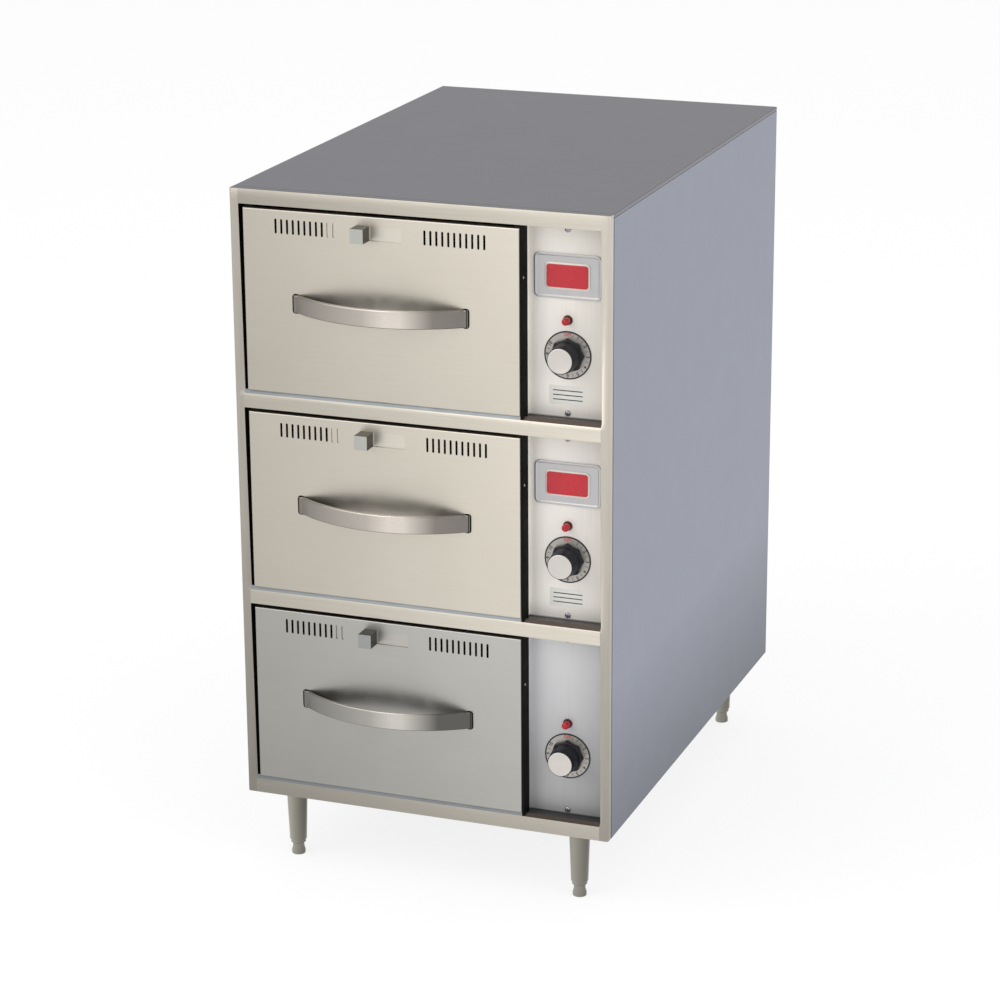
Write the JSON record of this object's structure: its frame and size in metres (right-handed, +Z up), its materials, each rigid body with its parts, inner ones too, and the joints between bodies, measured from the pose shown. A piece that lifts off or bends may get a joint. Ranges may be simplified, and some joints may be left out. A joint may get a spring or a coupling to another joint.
{
  "type": "warming drawer cabinet",
  "caption": "Narrow free-standing stainless food-warming cabinet on legs, with stacked pull-out pan drawers, vent shutters and a recessed control column.",
  "frame": {"origin": "on the floor under the middle of the whole outline, drawers shut", "axes": "+X to the right as seen from the front, +Y from the drawer fronts to the rear, +Z up"},
  "size_m": [0.52, 0.806, 0.944],
  "materials": {
    "face_steel": "brushed stainless steel",
    "side_steel": "brushed stainless steel",
    "top_steel": "brushed stainless steel",
    "rear_steel": "aluminised steel sheet",
    "cavity_steel": "plain stainless sheet",
    "front_steel": "brushed stainless steel",
    "panel_steel": "brushed stainless steel",
    "handle_steel": "satin stainless strap",
    "pan_steel": "drawn stainless steel",
    "slide_steel": "rolled steel channel",
    "leg_metal": "satin plated steel",
    "screw_chrome": "bright screws",
    "gland_plastic": "moulded black nylon",
    "element_sheath": "oxidised element sheath",
    "dial_silver": "printed silver dial plate",
    "bezel_dark": "dark moulded bezel",
    "lens_red": "red translucent lens",
    "control_body": "moulded control body",
    "knob_black": "moulded black knob",
    "cap_silver": "spun metal cap"
  },
  "bodies": {
    "cabinet": {"front_frame": "face_steel", "side_panel_left": "side_steel", "side_panel_right": "side_steel", "top_panel": "top_steel", "bottom_panel": "rear_steel", "rear_panel": "rear_steel", "rear_screws": "screw_chrome", "cord_gland": "gland_plastic", "cavity_wall_left": "cavity_steel", "partition_wall": "cavity_steel", "cavity_rear": "cavity_steel", "decks": "cavity_steel", "heating_elements": "element_sheath", "element_saddles": "cavity_steel", "outer_rails": "slide_steel", "panel_screws": "screw_chrome", "dial_plates": "dial_silver", "lamp_bezels": "bezel_dark", "lamp_lenses": "lens_red", "thermostats": "control_body", "leg_plates": "leg_metal", "legs": "leg_metal", "control_panel_1": "panel_steel", "control_panel_2": "panel_steel", "control_panel_3": "panel_steel"},
    "drawer_body_1": {"drawer_front_1": "front_steel", "handle_1": "handle_steel", "shutter_guides_1": "cavity_steel", "carriage_1": "cavity_steel", "pan_1": "pan_steel", "inner_rails_1": "slide_steel"},
    "middle_slide_1": {"middle_rails_1": "slide_steel"},
    "vent_shutter_1": {"shutter_1": "front_steel"},
    "knob_body_1": {"knob_1": "knob_black", "knob_cap_1": "cap_silver"},
    "drawer_body_2": {"drawer_front_2": "front_steel", "handle_2": "handle_steel", "shutter_guides_2": "cavity_steel", "carriage_2": "cavity_steel", "pan_2": "pan_steel", "inner_rails_2": "slide_steel"},
    "middle_slide_2": {"middle_rails_2": "slide_steel"},
    "vent_shutter_2": {"shutter_2": "front_steel"},
    "knob_body_2": {"knob_2": "knob_black", "knob_cap_2": "cap_silver"},
    "drawer_body_3": {"drawer_front_3": "front_steel", "handle_3": "handle_steel", "shutter_guides_3": "cavity_steel", "carriage_3": "cavity_steel", "pan_3": "pan_steel", "inner_rails_3": "slide_steel"},
    "middle_slide_3": {"middle_rails_3": "slide_steel"},
    "vent_shutter_3": {"shutter_3": "front_steel"},
    "knob_body_3": {"knob_3": "knob_black", "knob_cap_3": "cap_silver"},
    "levelling_foot_1": {"foot_1": "leg_metal"},
    "levelling_foot_2": {"foot_2": "leg_metal"},
    "levelling_foot_3": {"foot_3": "leg_metal"},
    "levelling_foot_4": {"foot_4": "leg_metal"}
  },
  "joints": [
    {"name": "drawer_slide_1", "type": "slide", "parent": "cabinet", "child": "drawer_body_1", "axis": [0, -1, 0], "range_m": [0, 0.5]},
    {"name": "middle_slide_1", "type": "slide", "parent": "cabinet", "child": "middle_slide_1", "axis": [0, -1, 0], "range_m": [0, 0.25]},
    {"name": "vent_slide_1", "type": "slide", "parent": "drawer_body_1", "child": "vent_shutter_1", "axis": [1, 0, 0], "range_m": [0, 0.044]},
    {"name": "knob_turn_1", "type": "hinge", "parent": "cabinet", "child": "knob_body_1", "pos_m": [0.19435, -0.3373, 0.7535], "axis": [0, 1, 0], "range_deg": [0, 300]},
    {"name": "drawer_slide_2", "type": "slide", "parent": "cabinet", "child": "drawer_body_2", "axis": [0, -1, 0], "range_m": [0, 0.5]},
    {"name": "middle_slide_2", "type": "slide", "parent": "cabinet", "child": "middle_slide_2", "axis": [0, -1, 0], "range_m": [0, 0.25]},
    {"name": "vent_slide_2", "type": "slide", "parent": "drawer_body_2", "child": "vent_shutter_2", "axis": [1, 0, 0], "range_m": [0, 0.044]},
    {"name": "knob_turn_2", "type": "hinge", "parent": "cabinet", "child": "knob_body_2", "pos_m": [0.19435, -0.3373, 0.4795], "axis": [0, 1, 0], "range_deg": [0, 300]},
    {"name": "drawer_slide_3", "type": "slide", "parent": "cabinet", "child": "drawer_body_3", "axis": [0, -1, 0], "range_m": [0, 0.5]},
    {"name": "middle_slide_3", "type": "slide", "parent": "cabinet", "child": "middle_slide_3", "axis": [0, -1, 0], "range_m": [0, 0.25]},
    {"name": "vent_slide_3", "type": "slide", "parent": "drawer_body_3", "child": "vent_shutter_3", "axis": [1, 0, 0], "range_m": [0, 0.044]},
    {"name": "knob_turn_3", "type": "hinge", "parent": "cabinet", "child": "knob_body_3", "pos_m": [0.19435, -0.3373, 0.2055], "axis": [0, 1, 0], "range_deg": [0, 300]},
    {"name": "foot_turn_1", "type": "hinge", "parent": "cabinet", "child": "levelling_foot_1", "pos_m": [-0.206, -0.321, 0.017], "axis": [0, 0, 1], "range_deg": [0, 720]},
    {"name": "foot_turn_2", "type": "hinge", "parent": "cabinet", "child": "levelling_foot_2", "pos_m": [0.206, -0.321, 0.017], "axis": [0, 0, 1], "range_deg": [0, 720]},
    {"name": "foot_turn_3", "type": "hinge", "parent": "cabinet", "child": "levelling_foot_3", "pos_m": [-0.206, 0.343, 0.017], "axis": [0, 0, 1], "range_deg": [0, 720]},
    {"name": "foot_turn_4", "type": "hinge", "parent": "cabinet", "child": "levelling_foot_4", "pos_m": [0.206, 0.343, 0.017], "axis": [0, 0, 1], "range_deg": [0, 720]}
  ],
  "couplings": [
    {"joint": "middle_slide_1", "follows": "drawer_slide_1", "ratio": 0.5},
    {"joint": "middle_slide_2", "follows": "drawer_slide_2", "ratio": 0.5},
    {"joint": "middle_slide_3", "follows": "drawer_slide_3", "ratio": 0.5}
  ]
}
